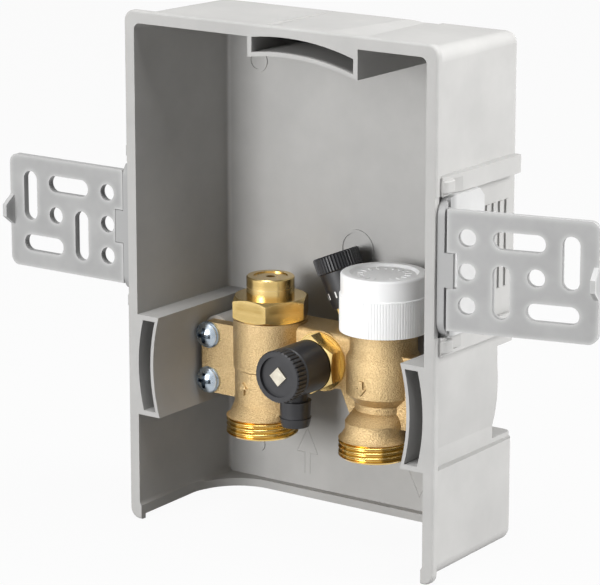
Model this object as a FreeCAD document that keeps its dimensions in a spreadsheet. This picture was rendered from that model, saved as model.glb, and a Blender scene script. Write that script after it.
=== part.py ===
import FreeCAD, Part
import math
import os
import Sketcher
from FreeCAD import Placement, Rotation, Vector
from types import SimpleNamespace

# Valve box for underfloor heating: a moulded wall box with folding fixing ears and a cast brass valve block.
# Frame: X to the right, Y into the wall, Z up. The origin is the bottom centre of the front rim's plane.

# Driving dimensions, in millimetres and degrees.
sizes = {
    # Wall box
    "box_width": 134.0,
    "box_height": 190.0,
    "box_depth": 57.0,
    "rim_depth": 2.5,
    "rim_proud": 1.5,
    "rim_face": 4.5,
    "rim_corner": 4.0,
    "rim_edge": 0.9,
    "back_wall": 2.5,
    "draft_angle": 1.0,
    "shell_corner": 5.0,
    "back_round": 5.0,
    "cavity_corner": 2.5,
    "floor_stub": 0.7,
    "floor_strip": 3.0,
    "floor_corner": 20.0,
    # Clip tunnels moulded in the top wall and in both side walls
    "clip_wall": 1.8,
    "clip_skin": 2.0,
    "clip_slot": 5.4,
    "side_clip_low": 42.3,
    "side_clip_length": 34.2,
    "side_clip_rise": 2.2,
    "side_clip_inset": 0.3,
    "side_clip_depth": 44.5,
    "recess_low_inset": 5.7,
    "recess_high_inset": 3.2,
    "recess_radius": 147.0,
    "top_clip_left": -10.4,
    "top_clip_length": 43.0,
    "top_clip_drop": 3.5,
    "top_clip_rise": 2.4,
    # Guide rails and click rack on both sides
    "guide_floor": 2.8,
    "rail_height": 6.5,
    "rail_reach": 1.0,
    "rail_notch_length": 9.0,
    "rail_notch_height": 5.2,
    "rail_notch_depth": 2.2,
    "rack_start": 31.0,
    "rack_pitch": 4.2,
    "rack_tooth": 1.9,
    "rack_rise": 0.7,
    "rack_margin": 9.0,
    "rack_count": 5,
    # Sliding bracket feet
    "slider_front": 1.2,
    "slider_length": 25.0,
    "slider_height": 49.0,
    "slider_low_right": 89.0,
    "slider_low_left": 85.5,
    "slider_proud": 2.5,
    "slider_thick": 2.9,
    "slider_round": 6.0,
    "slider_chamfer": 3.0,
    "foot_reach": 1.8,
    "foot_thick": 1.5,
    "foot_start": 3.0,
    "slide_clear": 0.2,
    # Fixing ears
    "ear_length": 54.0,
    "ear_height": 42.2,
    "ear_thick": 2.5,
    "ear_corner": 3.5,
    "ear_rise": 3.2,
    "ear_lean": 14.0,
    "bead_radius": 0.8,
    "bead_inset": 0.3,
    "bead_clear": 0.05,
    "ear_gap": 0.15,
    "tongue_reach": 3.6,
    "tongue_height": 12.0,
    "tongue_thick": 1.1,
    "nib_reach": 4.6,
    "nib_base": 11.4,
    "nib_tip": 4.4,
    "nib_thick": 1.8,
    "ear_hole": 3.1,
    "ear_slot_span": 12.4,
    "ear_row": 11.8,
    "ear_column_one": 7.4,
    "ear_column_two": 19.6,
    "ear_column_three": 31.8,
    "ear_column_four": 43.9,
    "ear_slot_offset": 6.1,
    # Cast valve block
    "port_spacing": 50.0,
    "port_ahead": 5.2,
    "body_back": 26.1,
    "port_low": 34.0,
    "port_thread": 6.8,
    "port_radius": 13.22,
    "port_chamfer": 0.8,
    "port_bore": 6.5,
    "port_bore_depth": 12.0,
    "left_shoulder": 12.4,
    "left_foot_radius": 13.2,
    "left_foot_low": 45.0,
    "left_step": 57.7,
    "left_body_radius": 13.7,
    "step_height": 0.5,
    "left_leg_top": 76.5,
    "left_mouth": 9.4,
    "left_mouth_depth": 11.0,
    "left_bore": 6.5,
    "right_cone": 12.4,
    "right_shoulder": 10.8,
    "right_shoulder_low": 44.0,
    "right_shoulder_top": 46.9,
    "right_neck_low": 50.5,
    "right_neck_top": 53.1,
    "right_body_radius": 13.4,
    "right_body_low": 56.4,
    "right_body_top": 69.7,
    "right_collar_low": 71.8,
    "right_collar_radius": 12.2,
    "right_leg_top": 79.0,
    "right_neck_radius": 10.3,
    "right_bore": 5.8,
    "seat_bore": 4.2,
    "inlet_bore": 4.5,
    "inlet_overlap": 1.0,
    "seat_clear": 0.1,
    "right_mouth": 8.0,
    "right_mouth_depth": 17.0,
    "bridge_ahead": 2.7,
    "bridge_behind": 15.1,
    "bridge_low": 54.3,
    "bridge_top": 75.5,
    "bridge_round": 2.5,
    "bridge_bore": 4.5,
    "web_start": 7.6,
    "web_end": 12.2,
    "web_low": 46.4,
    "web_thick": 5.0,
    "flange_ahead": 4.9,
    "flange_thick": 5.0,
    "flange_root": 5.0,
    "flange_gap": 2.0,
    "flange_low": 45.2,
    "flange_height": 26.8,
    "flange_round": 2.5,
    "flange_hole_inset": 3.4,
    "flange_hole_low": 50.0,
    "flange_hole_pitch": 17.2,
    "flange_hole": 2.3,
    "post_radius": 6.0,
    "post_clear": 1.0,
    "pilot_radius": 2.0,
    "pilot_depth": 16.0,
    # Flange screws and washers
    "screw_radius": 2.0,
    "screw_length": 18.0,
    "screw_head": 4.6,
    "screw_head_height": 3.0,
    "screw_flank": 1.0,
    "cross_width": 1.5,
    "cross_span": 5.8,
    "cross_depth": 2.2,
    "washer_radius": 5.0,
    "washer_thick": 0.9,
    # Lockshield side
    "hex_chamfer": 30.0,
    "bonnet_flats": 26.0,
    "bonnet_hex_height": 8.4,
    "bonnet_shank": 9.3,
    "bonnet_shank_length": 9.0,
    "bonnet_boss": 8.8,
    "bonnet_boss_height": 7.3,
    "bonnet_turn": -1.0,
    "spindle_radius": 6.2,
    "spindle_stem": 3.6,
    "spindle_sink": 0.4,
    "spindle_head_height": 4.0,
    "spindle_tip_low": 60.0,
    "spindle_tip_height": 4.5,
    "socket_flats": 3.0,
    "socket_depth": 2.6,
    "run_clear": 0.05,
    # Control valve side
    "insert_shank": 7.9,
    "insert_seat_low": 62.0,
    "insert_flats": 24.0,
    "insert_flange_height": 4.0,
    "insert_collar": 14.4,
    "insert_collar_height": 8.0,
    "insert_neck": 6.0,
    "insert_neck_height": 3.2,
    "pin_radius": 2.0,
    "pin_step": 4.0,
    "pin_step_height": 1.6,
    "pin_travel": 1.5,
    "spring_wire": 0.45,
    "spring_turns": 4,
    "chamber_radius": 5.6,
    "chamber_depth": 12.0,
    "disc_radius": 5.0,
    "disc_thick": 2.2,
    "cap_low": 79.6,
    "cap_height": 21.0,
    "cap_radius": 15.6,
    "cap_flare": 0.4,
    "cap_knurl": 13.2,
    "knurl_spread": 1.6,
    "cap_top": 2.4,
    "cap_dish": 0.9,
    "cap_lip": 3.2,
    "cap_round": 0.9,
    "cap_bore_clear": 0.1,
    "cap_ribs": 96,
    "cap_rib_depth": 0.25,
    # Vent and drain valve
    "vent_x": -0.5,
    "vent_z": 64.3,
    "vent_boss": 11.2,
    "nipple_shank": 6.6,
    "nipple_shank_length": 8.0,
    "nipple_collar": 10.8,
    "nipple_collar_height": 1.0,
    "nipple_flats": 19.0,
    "nipple_hex_height": 6.2,
    "nipple_tube": 5.5,
    "nipple_reach": 19.5,
    "nipple_bore": 2.6,
    "sleeve_radius": 9.4,
    "sleeve_length": 13.8,
    "sleeve_edge": 0.5,
    "spout_forward": 8.4,
    "spout_neck": 4.5,
    "spout_barb": 5.8,
    "spout_length": 11.0,
    "spout_barb_height": 3.3,
    "spout_upper_height": 6.2,
    "spout_upper_taper": 0.4,
    "spout_lower_taper": 0.8,
    "spout_bore": 3.0,
    "vent_knob_radius": 9.5,
    "vent_knob_length": 5.8,
    "vent_knob_recess": 7.4,
    "vent_knob_sink": 1.2,
    "vent_knob_ribs": 36,
    "vent_rib_depth": 0.45,
    "vent_gap": 0.2,
    "square_side": 5.0,
    "ring_section": 0.6,
    # Inclined presetting valve
    "preset_x": 5.5,
    "preset_behind": 12.6,
    "preset_z": 75.9,
    "preset_lean": 23.0,
    "preset_boss": 6.6,
    "preset_boss_sink": 14.0,
    "preset_seat": 2.5,
    "preset_shank": 5.0,
    "preset_shank_length": 7.0,
    "preset_flats": 11.0,
    "preset_hex_height": 5.0,
    "preset_stem": 2.0,
    "preset_knob_foot": 7.3,
    "preset_knob_shoulder": 8.0,
    "preset_body_length": 13.0,
    "preset_head": 8.7,
    "preset_head_length": 6.4,
    "preset_ribs": 44,
    "preset_rib_depth": 0.4,
    "preset_wall": 1.8,
    # Mould marks on the back wall
    "mark_rise": 0.4,
    "mark_ring_width": 1.2,
    "upper_mark_x": -47.7,
    "upper_mark_z": 165.7,
    "upper_mark_radius": 4.3,
    "middle_mark_x": -3.0,
    "middle_mark_z": 100.3,
    "middle_mark_radius": 7.5,
    "lower_mark_x": -47.7,
    "lower_mark_z": 18.4,
    "lower_mark_radius": 2.8,
}

doc = FreeCAD.newDocument("valve_box")
sheet = doc.addObject("Spreadsheet::Sheet", "Sizes")


# A number together with the sheet formula that gives it.
class Size:
    def __init__(self, value, text):
        self.value = value
        self.text = text

    def __add__(self, other):
        return join(self, other, "+", self.value + number(other))

    def __radd__(self, other):
        return join(other, self, "+", number(other) + self.value)

    def __sub__(self, other):
        return join(self, other, "-", self.value - number(other))

    def __rsub__(self, other):
        return join(other, self, "-", number(other) - self.value)

    def __mul__(self, other):
        return join(self, other, "*", self.value * number(other))

    def __rmul__(self, other):
        return join(other, self, "*", number(other) * self.value)

    def __truediv__(self, other):
        return join(self, other, "/", self.value / number(other))

    def __neg__(self):
        return Size(-self.value, "(-%s)" % self.text)


def number(item):
    return item.value if isinstance(item, Size) else float(item)


def formula(item):
    return item.text if isinstance(item, Size) else "(%r)" % float(item)


def join(left, right, sign, value):
    return Size(value, "(%s %s %s)" % (formula(left), sign, formula(right)))


def trig(name, angle):
    value = getattr(math, name)(math.radians(angle.value))
    return Size(value, "%s(%s * 1deg)" % (name, angle.text))


for row, (name, value) in enumerate(sizes.items(), start=1):
    sheet.set("A%d" % row, name)
    sheet.set("B%d" % row, str(value))
    sheet.setAlias("B%d" % row, name)
doc.recompute()
s = SimpleNamespace(**{name: Size(float(value), "Sizes." + name) for name, value in sizes.items()})


def bind(item, path, value):
    item.setExpression(path, formula(value))


def new_body(label):
    body = doc.addObject("PartDesign::Body", label)
    body.Label = label
    return body


def origin_feature(body, role):
    return next(item for item in body.Origin.OriginFeatures if item.Role == role)


# Moves a body: x, y and z follow the sheet, the turn is about one axis.
def place(item, x=0, y=0, z=0, axis=None, angle=0):
    turn = Rotation(axis, number(angle)) if axis else Rotation()
    item.Placement = Placement(Vector(number(x), number(y), number(z)), turn)
    for path, value in zip("xyz", (x, y, z)):
        bind(item, "Placement.Base." + path, value)
    if axis and isinstance(angle, Size):
        bind(item, "Placement.Rotation.Angle", angle)


def new_sketch(body, role, name, x=0, y=0, z=0):
    sketch = body.newObject("Sketcher::SketchObject", name)
    sketch.AttachmentSupport = [(origin_feature(body, role), "")]
    sketch.MapMode = "FlatFace"
    for path, value in zip("xyz", (x, y, z)):
        if isinstance(value, Size):
            bind(sketch, "AttachmentOffset.Base." + path, value)
    return sketch


def limit(sketch, kind, *where, value):
    index = sketch.addConstraint(Sketcher.Constraint(kind, *where, number(value)))
    bind(sketch, "Constraints[%d]" % index, value)


def pin_point(sketch, geometry, position, x, y):
    limit(sketch, "DistanceX", -1, 1, geometry, position, value=x)
    limit(sketch, "DistanceY", -1, 1, geometry, position, value=y)


# The arc from one point to the next; a positive radius bulges to the right of the way there.
def bulge(start, end, radius):
    middle = (start + end) * 0.5
    way = end - start
    side = Vector(-way.y, way.x, 0).normalize()
    reach = math.sqrt(max(radius * radius - way.Length ** 2 / 4, 0))
    centre = middle + side * (reach if radius > 0 else -reach)
    first, last = (start, end) if radius > 0 else (end, start)
    angles = [math.atan2(point.y - centre.y, point.x - centre.x) for point in (first, last)]
    circle = Part.Circle(centre, Vector(0, 0, 1), abs(radius))
    return Part.ArcOfCircle(circle, angles[0], angles[1])


# A closed outline through points (x, y), or (x, y, radius) where an arc leads to the next point.
def loop(sketch, points):
    spots = [Vector(number(point[0]), number(point[1]), 0) for point in points]
    parts = []
    for index, point in enumerate(points):
        start, end = spots[index], spots[(index + 1) % len(points)]
        radius = point[2] if len(point) > 2 else None
        if radius is None:
            parts.append((sketch.addGeometry(Part.LineSegment(start, end), False), 1, 2))
            continue
        geometry = sketch.addGeometry(bulge(start, end, number(radius)), False)
        parts.append((geometry, 1, 2) if number(radius) > 0 else (geometry, 2, 1))
    for index, part in enumerate(parts):
        following = parts[(index + 1) % len(parts)]
        sketch.addConstraint(Sketcher.Constraint("Coincident", part[0], part[2], following[0], following[1]))
    for part, point in zip(parts, points):
        pin_point(sketch, part[0], part[1], point[0], point[1])
        if len(point) > 2:
            size = point[2] if number(point[2]) > 0 else -point[2]
            limit(sketch, "Radius", part[0], value=size)


def rectangle(sketch, x0, x1, y0, y1):
    loop(sketch, [(x0, y0), (x1, y0), (x1, y1), (x0, y1)])


def rounded_box(sketch, x0, x1, y0, y1, radius):
    loop(sketch, [
        (x0 + radius, y0), (x1 - radius, y0, radius), (x1, y0 + radius), (x1, y1 - radius, radius),
        (x1 - radius, y1), (x0 + radius, y1, radius), (x0, y1 - radius), (x0, y0 + radius, radius),
    ])


def ring(sketch, x, y, radius):
    centre = Vector(number(x), number(y), 0)
    geometry = sketch.addGeometry(Part.Circle(centre, Vector(0, 0, 1), number(radius)), False)
    pin_point(sketch, geometry, 3, x, y)
    limit(sketch, "Radius", geometry, value=radius)


# A round-ended slot about (x, y), whose end centres are span apart, level or upright.
def slot(sketch, x, y, span, radius, upright):
    turn = math.pi / 2 if upright else 0
    ends = [(x, y - span / 2), (x, y + span / 2)] if upright else [(x - span / 2, y), (x + span / 2, y)]
    start = [turn + math.pi / 2, turn - math.pi / 2]
    arcs = []
    for (cx, cy), angle in zip(ends, start):
        circle = Part.Circle(Vector(number(cx), number(cy), 0), Vector(0, 0, 1), number(radius))
        arcs.append(sketch.addGeometry(Part.ArcOfCircle(circle, angle, angle + math.pi), False))
    for first, last in (arcs, arcs[::-1]):
        line = Part.LineSegment(sketch.getPoint(first, 2), sketch.getPoint(last, 1))
        side = sketch.addGeometry(line, False)
        sketch.addConstraint(Sketcher.Constraint("Coincident", first, 2, side, 1))
        sketch.addConstraint(Sketcher.Constraint("Coincident", last, 1, side, 2))
    level = "Horizontal" if upright else "Vertical"
    for arc, (cx, cy) in zip(arcs, ends):
        pin_point(sketch, arc, 3, cx, cy)
        for end in (1, 2):
            sketch.addConstraint(Sketcher.Constraint(level, arc, end, arc, 3))
    limit(sketch, "Radius", arcs[0], value=radius)
    sketch.addConstraint(Sketcher.Constraint("Equal", arcs[0], arcs[1]))


# Corners along the sketch's X axis, or along its Y axis where the hexagon stands upright.
def hexagon(sketch, flats, upright=False):
    corner = flats / math.sqrt(3)
    half = corner / 2
    flat = flats / 2
    points = [(corner, 0), (half, flat), (-half, flat), (-corner, 0), (-half, -flat), (half, -flat)]
    loop(sketch, [(y, x) for x, y in points[::-1]] if upright else points)


def extrude(kind, body, sketch, length, backwards=False):
    feature = body.newObject("PartDesign::" + kind, sketch.Name + "_" + kind.lower())
    feature.Profile = sketch
    feature.Reversed = backwards
    if length is None:
        feature.Type = "ThroughAll"
    else:
        feature.Length = number(length)
        bind(feature, "Length", length)
    return feature


def pad(body, sketch, length, backwards=False):
    return extrude("Pad", body, sketch, length, backwards)


# A length of None cuts right through.
def pocket(body, sketch, length=None, backwards=False):
    return extrude("Pocket", body, sketch, length, backwards)


def turn(kind, body, sketch):
    feature = body.newObject("PartDesign::" + kind, sketch.Name + "_" + kind.lower())
    feature.Profile = sketch
    feature.ReferenceAxis = (sketch, ["V_Axis"])
    feature.Angle = 360
    return feature


def round_edges(body, feature, radius, chosen):
    doc.recompute()
    names = ["Edge%d" % index for index, edge in enumerate(feature.Shape.Edges, start=1) if chosen(edge)]
    fillet = body.newObject("PartDesign::Fillet", feature.Name + "_round")
    fillet.Base = (feature, names)
    fillet.Radius = number(radius)
    bind(fillet, "Radius", radius)
    return fillet


def polar(body, feature, count):
    pattern = body.newObject("PartDesign::PolarPattern", feature.Name + "_pattern")
    pattern.Originals = [feature]
    pattern.Axis = (origin_feature(body, "Z_Axis"), [""])
    pattern.Angle = 360
    pattern.Occurrences = int(count.value)
    bind(pattern, "Occurrences", count)
    body.Tip = pattern
    return pattern


# A body turned about its own Z axis from an outline of (radius, height) points.
def turned(label, points):
    body = new_body(label)
    sketch = new_sketch(body, "XZ_Plane", label + "_section")
    loop(sketch, points)
    turn("Revolution", body, sketch)
    return body


# V grooves cut along a turned body, evenly round it, from low to high.
def knurl(body, label, radius, depth, count, low, high):
    sketch = new_sketch(body, "XY_Plane", label + "_groove", z=low)
    outside = radius + depth
    spread = s.knurl_spread * depth
    loop(sketch, [(radius - depth, 0), (outside, -spread), (outside, spread)])
    groove = pocket(body, sketch, high - low, backwards=True)
    return polar(body, groove, count)


def arc_radius(length, rise):
    half = length / 2
    return (half * half + rise * rise) / (rise * 2)


half_width = s.box_width / 2
shell_half = half_width - s.rim_proud
cavity_half = half_width - s.rim_face
cavity_top = s.box_height - s.rim_face
inner_back = s.box_depth - s.back_wall
guide_x = half_width - s.guide_floor
slider_face = half_width + s.slider_proud
slider_inner = slider_face - s.slider_thick
foot_inner = slider_inner - s.foot_thick
rail_face = half_width + s.rail_reach
bead_x = slider_face - s.bead_inset
ear_back = s.bead_inset + s.ear_gap
bead_y = s.slider_front + s.ear_thick + ear_back
port_x = s.port_spacing / 2
body_depth = s.box_depth - s.body_back
port_depth = body_depth - s.port_ahead
bridge_front = body_depth - s.bridge_ahead
bridge_back = body_depth + s.bridge_behind
flange_front = body_depth - s.flange_ahead
flange_back = flange_front + s.flange_thick
clip_face = cavity_half - s.side_clip_inset - s.clip_slot - s.clip_wall
flange_reach = clip_face - s.flange_gap
flange_hole_x = flange_reach - s.flange_hole_inset
preset_y = body_depth + s.preset_behind
sides = {"left": -1, "right": 1}
slider_low = {"left": s.slider_low_left, "right": s.slider_low_right}
clip_high = s.side_clip_low + s.side_clip_length


# Wall box
def side_clip(sketch, side, apex, far, margin):
    radius = arc_radius(s.side_clip_length, s.side_clip_rise)
    shift = apex - s.side_clip_rise
    low, high = s.side_clip_low - margin, clip_high + margin
    loop(sketch, [
        (shift * side, low, radius * side), (shift * side, high), (far * side, high), (far * side, low),
    ])


def top_clip(sketch, rise, far, margin):
    radius = arc_radius(s.top_clip_length, s.top_clip_rise)
    left, right = s.top_clip_left - margin, s.top_clip_left + s.top_clip_length + margin
    high, low = cavity_top + rise, cavity_top + rise - s.top_clip_drop
    loop(sketch, [(left, high, -radius), (right, low), (right, far), (left, far)])


def side_slot(sketch, side):
    radius = arc_radius(s.side_clip_length, s.side_clip_rise)
    outer = cavity_half - s.side_clip_inset - s.side_clip_rise
    inner = outer - s.clip_slot
    loop(sketch, [
        (outer * side, s.side_clip_low, radius * side), (outer * side, clip_high),
        (inner * side, clip_high, -radius * side), (inner * side, s.side_clip_low),
    ])


def top_slot(sketch):
    radius = arc_radius(s.top_clip_length, s.top_clip_rise)
    left, right = s.top_clip_left, s.top_clip_left + s.top_clip_length
    low = cavity_top - s.top_clip_drop
    loop(sketch, [
        (left, cavity_top, -radius), (right, low), (right, low - s.clip_slot, radius),
        (left, cavity_top - s.clip_slot),
    ])


def build_wall_box():
    body = new_body("wall_box")
    rim = new_sketch(body, "XZ_Plane", "rim")
    rounded_box(rim, -half_width, half_width, 0, s.box_height, s.rim_corner)
    rim_pad = pad(body, rim, s.rim_depth, backwards=True)
    round_edges(body, rim_pad, s.rim_edge, lambda edge: abs(edge.BoundBox.YMax) < 1e-6)

    shell = new_sketch(body, "XZ_Plane", "shell")
    rounded_box(shell, -shell_half, shell_half, s.rim_proud, s.box_height - s.rim_proud, s.shell_corner)
    shell_pad = pad(body, shell, s.box_depth, backwards=True)
    bind(shell_pad, "TaperAngle", -s.draft_angle)
    depth = s.box_depth.value
    round_edges(body, shell_pad, s.back_round, lambda edge: edge.BoundBox.YMin > depth - 1e-3)

    rails = new_sketch(body, "XZ_Plane", "rails", z=-s.rim_depth)
    for name, side in sides.items():
        low, high = slider_low[name] - s.slide_clear, slider_low[name] + s.slider_height + s.slide_clear
        for start, end in ((low - s.rail_height, low), (high, high + s.rail_height)):
            rectangle(rails, cavity_half * side, rail_face * side, start, end)
    pad(body, rails, s.box_depth - s.rim_depth - s.back_round, backwards=True)

    guides = new_sketch(body, "XZ_Plane", "guides", z=-s.rim_depth)
    under = slider_inner + s.slide_clear
    outside = slider_face + s.slider_thick
    for name, side in sides.items():
        low, high = slider_low[name] - s.slide_clear, slider_low[name] + s.slider_height + s.slide_clear
        loop(guides, [
            (guide_x * side, low - s.foot_reach), (under * side, low - s.foot_reach), (under * side, low),
            (outside * side, low), (outside * side, high), (under * side, high),
            (under * side, high + s.foot_reach), (guide_x * side, high + s.foot_reach),
        ])
    pocket(body, guides)

    notches = new_sketch(body, "XZ_Plane", "rim_notches")
    notch = slider_inner - s.slide_clear
    for name, side in sides.items():
        low, high = slider_low[name] - s.slide_clear, slider_low[name] + s.slider_height + s.slide_clear
        rectangle(notches, notch * side, outside * side, low, high)
    pocket(body, notches, s.rim_depth)

    recesses = new_sketch(body, "XZ_Plane", "recesses", z=-s.rim_depth)
    low = s.side_clip_low - s.clip_wall
    for name, side in sides.items():
        high = slider_low[name] - s.slide_clear - s.rail_height
        loop(recesses, [
            ((half_width - s.recess_low_inset) * side, low, s.recess_radius * side),
            ((half_width - s.recess_high_inset) * side, high), (outside * side, high), (outside * side, low),
        ])
    top_clip(recesses, s.clip_skin, s.box_height + s.rim_proud, s.clip_wall)
    pocket(body, recesses)

    cavity = new_sketch(body, "XZ_Plane", "cavity")
    rounded_box(cavity, -cavity_half, cavity_half, s.rim_face, cavity_top, s.cavity_corner)
    cavity_cut = pocket(body, cavity, inner_back)
    bind(cavity_cut, "TaperAngle", -s.draft_angle)

    walls = new_sketch(body, "XZ_Plane", "clip_walls")
    slot_side = cavity_half - s.side_clip_inset - s.clip_slot
    for side in sides.values():
        side_clip(walls, side, slot_side - s.clip_wall, cavity_half, s.clip_wall)
    top_clip(walls, -s.clip_slot - s.clip_wall, cavity_top + s.clip_skin / 2, s.clip_wall)
    pad(body, walls, inner_back + s.back_wall / 2, backwards=True)

    side_slots = new_sketch(body, "XZ_Plane", "side_slots")
    behind = new_sketch(body, "XZ_Plane", "behind_side_slots", z=-s.side_clip_depth)
    for side in sides.values():
        side_slot(side_slots, side)
        side_clip(behind, side, slot_side, outside, 0)
    pocket(body, side_slots, s.side_clip_depth - s.clip_wall)
    pocket(body, behind)
    upper_slot = new_sketch(body, "XZ_Plane", "upper_slot")
    top_slot(upper_slot)
    pocket(body, upper_slot, inner_back)

    opening = new_sketch(body, "XY_Plane", "floor_opening")
    edge = cavity_half - s.floor_stub
    back = inner_back - s.floor_strip
    loop(opening, [
        (-edge, -s.rim_depth), (edge, -s.rim_depth), (edge, back - s.floor_corner, s.floor_corner),
        (edge - s.floor_corner, back), (-edge + s.floor_corner, back, s.floor_corner),
        (-edge, back - s.floor_corner),
    ])
    pocket(body, opening, s.rim_face + s.rim_proud, backwards=True)

    posts = new_sketch(body, "XZ_Plane", "posts", z=-flange_back)
    pilots = new_sketch(body, "XZ_Plane", "pilots", z=-flange_back)
    for side in sides.values():
        for step in (0, 1):
            height = s.flange_hole_low + s.flange_hole_pitch * step
            ring(posts, flange_hole_x * side, height, s.post_radius)
            ring(pilots, flange_hole_x * side, height, s.pilot_radius)
    pad(body, posts, inner_back - flange_back + s.back_wall / 2, backwards=True)
    # Room for the legs, which the posts come close to in a narrower box
    for name, side in sides.items():
        room = s.left_body_radius + s.post_clear
        high = s.flange_low + s.flange_height
        turn_on_axis("Groove", body, name + "_leg_room", port_x * side, body_depth, [
            (0, s.flange_low), (room, s.flange_low), (room, high), (0, high),
        ])
    pocket(body, pilots, s.pilot_depth)

    marks = new_sketch(body, "XZ_Plane", "marks", z=-(inner_back - s.mark_rise))
    ring(marks, s.upper_mark_x, s.upper_mark_z, s.upper_mark_radius)
    ring(marks, s.upper_mark_x, s.upper_mark_z, s.upper_mark_radius - s.mark_ring_width)
    ring(marks, s.middle_mark_x, s.middle_mark_z, s.middle_mark_radius)
    ring(marks, s.middle_mark_x, s.middle_mark_z, s.middle_mark_radius - s.mark_ring_width)
    ring(marks, s.lower_mark_x, s.lower_mark_z, s.lower_mark_radius)
    pad(body, marks, s.mark_rise + s.back_wall / 2, backwards=True)

    for name, side in sides.items():
        rack = new_sketch(body, "XZ_Plane", name + "_rack", z=-s.rack_start)
        low, high = slider_low[name] + s.rack_margin, slider_low[name] + s.slider_height - s.rack_margin
        rectangle(rack, cavity_half * side, (guide_x + s.rack_rise) * side, low, high)
        tooth = pad(body, rack, s.rack_tooth, backwards=True)
        pattern = body.newObject("PartDesign::LinearPattern", name + "_rack_row")
        pattern.Originals = [tooth]
        pattern.Direction = (origin_feature(body, "Y_Axis"), [""])
        pattern.Length = number(s.rack_pitch * (s.rack_count - 1))
        bind(pattern, "Length", s.rack_pitch * (s.rack_count - 1))
        pattern.Occurrences = int(s.rack_count.value)
        bind(pattern, "Occurrences", s.rack_count)
        body.Tip = pattern

    for name, side in sides.items():
        low, high = slider_low[name] - s.slide_clear, slider_low[name] + s.slider_height + s.slide_clear
        for end, top in (("low", low), ("high", high + s.rail_notch_height)):
            scoop = new_sketch(body, "XY_Plane", name + "_scoop_" + end, z=top)
            start = s.rim_depth + s.rail_height / 2
            loop(scoop, [
                (rail_face * side, start), (rail_face * side, start + s.rail_notch_length),
                ((rail_face - s.rail_notch_depth) * side, start),
            ])
            pocket(body, scoop, s.rail_notch_height)
    return body


# Sliding foot: a plate in the side recess, with the ear's hinge groove in its front corner
def build_slider(name, side):
    body = new_body(name + "_slider")
    low = slider_low[name]
    high = low + s.slider_height
    rear = s.slider_front + s.slider_length
    plate = new_sketch(body, "YZ_Plane", name + "_plate", z=slider_inner * side)
    loop(plate, [
        (s.slider_front + s.slider_round, low), (rear - s.slider_chamfer, low),
        (rear, low + s.slider_chamfer),
        (rear, high - s.slider_chamfer), (rear - s.slider_chamfer, high),
        (s.slider_front + s.slider_round, high, s.slider_round), (s.slider_front, high - s.slider_round),
        (s.slider_front, low + s.slider_round, s.slider_round),
    ])
    pad(body, plate, s.slider_thick, backwards=side < 0)
    foot = new_sketch(body, "YZ_Plane", name + "_foot", z=foot_inner * side)
    rectangle(foot, s.slider_front + s.foot_start, rear, low - s.foot_reach, high + s.foot_reach)
    pad(body, foot, s.foot_thick, backwards=side < 0)
    tongue = new_sketch(body, "XZ_Plane", name + "_tongue", z=-s.slider_front)
    middle = low + s.ear_rise + s.ear_height / 2
    rectangle(tongue, slider_inner * side, (slider_face + s.tongue_reach) * side,
              middle - s.tongue_height / 2, middle + s.tongue_height / 2)
    pad(body, tongue, s.tongue_thick, backwards=True)
    groove = new_sketch(body, "XY_Plane", name + "_groove")
    ring(groove, bead_x * side, bead_y, s.bead_radius + s.bead_clear)
    pocket(body, groove, backwards=True)
    return body


# Fixing ear, modelled about its hinge bead: holes in columns, level slots and upright slots between them
def build_ear(name, side, lean):
    body = new_body(name + "_ear")
    front = ear_back + s.ear_thick
    start = s.bead_inset + s.ear_gap
    end = s.ear_length
    top = s.ear_height
    middle = s.ear_height / 2
    corner = s.ear_corner
    plate = new_sketch(body, "XZ_Plane", name + "_sheet", z=front)
    loop(plate, [
        (start * side, 0), ((end - corner) * side, 0, corner * side), (end * side, corner),
        (end * side, top - corner, corner * side), ((end - corner) * side, top), (start * side, top),
    ])
    pad(body, plate, s.ear_thick, backwards=True)
    gap = new_sketch(body, "XZ_Plane", name + "_gap", z=front)
    reach = s.bead_inset + s.tongue_reach + s.slide_clear
    half = s.tongue_height / 2 + s.slide_clear
    rectangle(gap, 0, reach * side, middle - half, middle + half)
    pocket(body, gap, s.ear_thick)
    holes = new_sketch(body, "XZ_Plane", name + "_holes", z=front)
    column_one = (s.bead_inset + s.ear_column_one) * side
    column_three = (s.bead_inset + s.ear_column_three) * side
    for row in (-1, 1):
        ring(holes, column_one, middle + s.ear_row * row, s.ear_hole)
    ring(holes, column_one, middle, s.ear_hole)
    ring(holes, column_three, middle, s.ear_hole)
    near, far = (s.bead_inset + s.ear_column_two) * side, (s.bead_inset + s.ear_column_four) * side
    slot(holes, near, middle - s.ear_slot_offset, s.ear_slot_span, s.ear_hole, True)
    slot(holes, far, middle + s.ear_slot_offset, s.ear_slot_span, s.ear_hole, True)
    slot(holes, near + s.ear_slot_offset * side, middle + s.ear_row, s.ear_slot_span, s.ear_hole, False)
    slot(holes, far - s.ear_slot_offset * side, middle - s.ear_row, s.ear_slot_span, s.ear_hole, False)
    pocket(body, holes, s.ear_thick)
    bead = new_sketch(body, "XY_Plane", name + "_bead")
    ring(bead, 0, 0, s.bead_radius)
    pad(body, bead, s.ear_height)
    nib = new_sketch(body, "YZ_Plane", name + "_nib", z=(end - s.nib_thick) * side)
    loop(nib, [
        (-ear_back - s.ear_thick / 2, middle - s.nib_base / 2),
        (-ear_back - s.ear_thick / 2, middle + s.nib_base / 2),
        (-front, middle + s.nib_base / 2), (-front - s.nib_reach, middle + s.nib_tip / 2),
        (-front - s.nib_reach, middle - s.nib_tip / 2), (-front, middle - s.nib_base / 2),
    ])
    pad(body, nib, s.nib_thick, backwards=side < 0)
    place(body, bead_x * side, bead_y, slider_low[name] + s.ear_rise, Vector(0, 0, 1), lean)
    return body


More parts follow.
